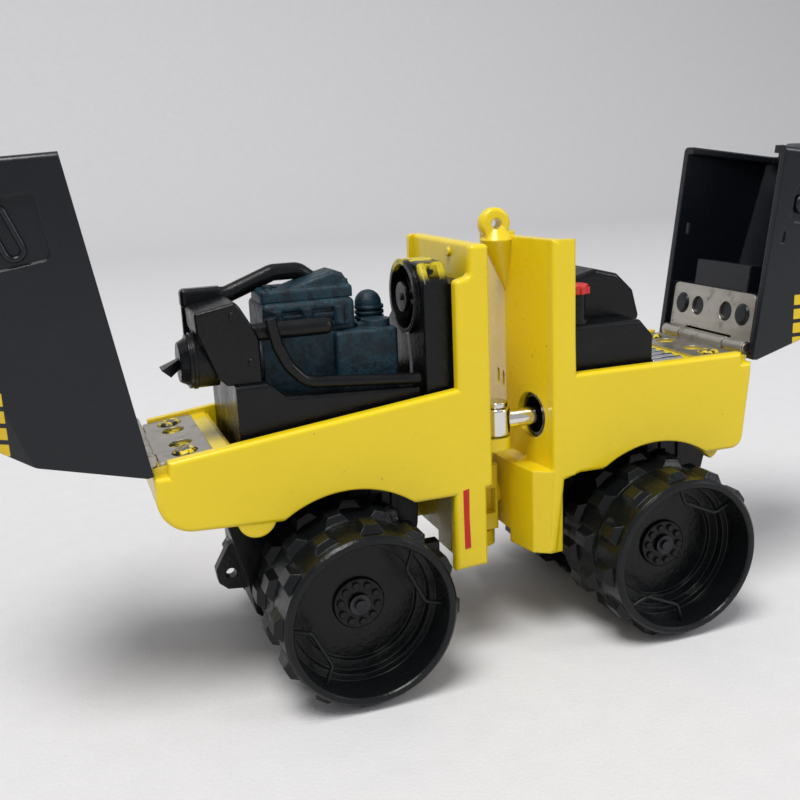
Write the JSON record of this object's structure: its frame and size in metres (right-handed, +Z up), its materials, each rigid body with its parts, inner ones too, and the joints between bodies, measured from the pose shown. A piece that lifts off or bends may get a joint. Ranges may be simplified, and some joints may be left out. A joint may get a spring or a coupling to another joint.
{
  "type": "toy trench roller",
  "caption": "Die-cast toy of an articulated trench roller with padfoot drums, a steering joint and two hinged hoods that open over an engine and a tank.",
  "frame": {"origin": "on the ground directly under the vertical steering axis, midway between the two axles", "axes": "+Z up, +X lengthwise towards the tank half (the engine half is at -X), +Y to the left of someone who faces +X; both hoods are stored open"},
  "size_m": [0.115, 0.034, 0.0597],
  "materials": {
    "yellow_enamel": "gloss enamel on a zinc casting",
    "joint_yellow": "gloss enamel, a little thinner than on the castings",
    "chassis_black": "satin moulded black",
    "drum_black": "satin moulded black with worn pad tops",
    "hood_black": "semi-gloss black",
    "engine_black": "satin moulded black",
    "engine_teal": "dark blue-green, speckled",
    "hinge_steel": "stamped steel, lightly tarnished",
    "screw_steel": "zinc plated, dull",
    "blackened_steel": "blackened",
    "pin_chrome": "bright plated",
    "rod_chrome": "bright plated",
    "barrel_dark": "dark, oiled",
    "dipstick_grey": "worn edge, greyish",
    "cap_red": "glossy red",
    "cooler_silver": "bright silver"
  },
  "bodies": {
    "tank_half": {"tank_frame": "yellow_enamel", "tank_housing": "chassis_black", "tank_housing_screws": "screw_steel", "tank_axle": "blackened_steel", "trunnion_washer": "screw_steel", "steering_barrel": "barrel_dark", "tank_box": "engine_black", "reservoir": "engine_black", "filler_neck": "engine_black", "filler_cap": "cap_red", "cooler": "cooler_silver", "tank_hinge_body_leaf": "hinge_steel"},
    "joint_block": {"joint_block": "joint_yellow"},
    "engine_half": {"engine_frame": "yellow_enamel", "engine_housing": "chassis_black", "engine_housing_screws": "screw_steel", "engine_axle": "blackened_steel", "steering_pin": "pin_chrome", "rod_pin": "pin_chrome", "engine_base": "engine_black", "crankcase": "engine_teal", "rocker_cover": "engine_teal", "intake_casting": "engine_teal", "oil_filler": "engine_teal", "air_box": "engine_black", "air_filter": "engine_black", "filter_spout": "engine_black", "top_hose": "engine_black", "hose_stub": "engine_black", "u_pipe": "engine_black", "fan_shroud": "engine_black", "cooling_fan": "engine_black", "dipstick": "dipstick_grey", "engine_hinge_body_leaf": "hinge_steel"},
    "piston_rod": {"piston_rod": "rod_chrome"},
    "engine_hood": {"engine_hood": "hood_black", "engine_hood_handles": "hood_black", "engine_hinge_hood_leaf": "hinge_steel", "engine_hinge_pin": "hinge_steel"},
    "tank_hood": {"tank_hood": "hood_black", "tank_hood_handles": "hood_black", "tank_hood_strut": "hood_black", "tank_hinge_hood_leaf": "hinge_steel", "tank_hinge_pin": "hinge_steel"},
    "engine_right_drum": {"engine_right_drum": "drum_black", "engine_right_hub": "drum_black", "engine_right_loops": "drum_black"},
    "engine_left_drum": {"engine_left_drum": "drum_black", "engine_left_hub": "drum_black", "engine_left_loops": "drum_black"},
    "tank_right_drum": {"tank_right_drum": "drum_black", "tank_right_hub": "drum_black", "tank_right_loops": "drum_black"},
    "tank_left_drum": {"tank_left_drum": "drum_black", "tank_left_hub": "drum_black", "tank_left_loops": "drum_black"}
  },
  "joints": [
    {"name": "chassis_roll", "type": "hinge", "parent": "tank_half", "child": "joint_block", "pos_m": [0, 0, 0.0163], "axis": [1, 0, 0], "range_deg": [-3, 3]},
    {"name": "steering", "type": "hinge", "parent": "joint_block", "child": "engine_half", "pos_m": [0, 0, 0.0163], "axis": [0, 0, 1], "range_deg": [-25, 25]},
    {"name": "rod_swing", "type": "hinge", "parent": "engine_half", "child": "piston_rod", "pos_m": [0.0003, -0.0055, 0.02705], "axis": [0, 0, 1], "range_deg": [-25, 25]},
    {"name": "engine_hood_hinge", "type": "hinge", "parent": "engine_half", "child": "engine_hood", "pos_m": [-0.0399, 0, 0.0287], "axis": [0, -1, 0], "range_deg": [-93, 3]},
    {"name": "tank_hood_hinge", "type": "hinge", "parent": "tank_half", "child": "tank_hood", "pos_m": [0.0333, 0, 0.0327], "axis": [0, 1, 0], "range_deg": [-98, 3]},
    {"name": "engine_right_roll", "type": "hinge", "parent": "engine_half", "child": "engine_right_drum", "pos_m": [-0.0195, -0.014, 0.0104], "axis": [0, 1, 0], "continuous": true},
    {"name": "engine_left_roll", "type": "hinge", "parent": "engine_half", "child": "engine_left_drum", "pos_m": [-0.0195, 0.014, 0.0104], "axis": [0, 1, 0], "continuous": true},
    {"name": "tank_right_roll", "type": "hinge", "parent": "tank_half", "child": "tank_right_drum", "pos_m": [0.0195, -0.014, 0.0104], "axis": [0, 1, 0], "continuous": true},
    {"name": "tank_left_roll", "type": "hinge", "parent": "tank_half", "child": "tank_left_drum", "pos_m": [0.0195, 0.014, 0.0104], "axis": [0, 1, 0], "continuous": true}
  ],
  "couplings": [
    {"joint": "rod_swing", "follows": "steering", "ratio": -1}
  ]
}
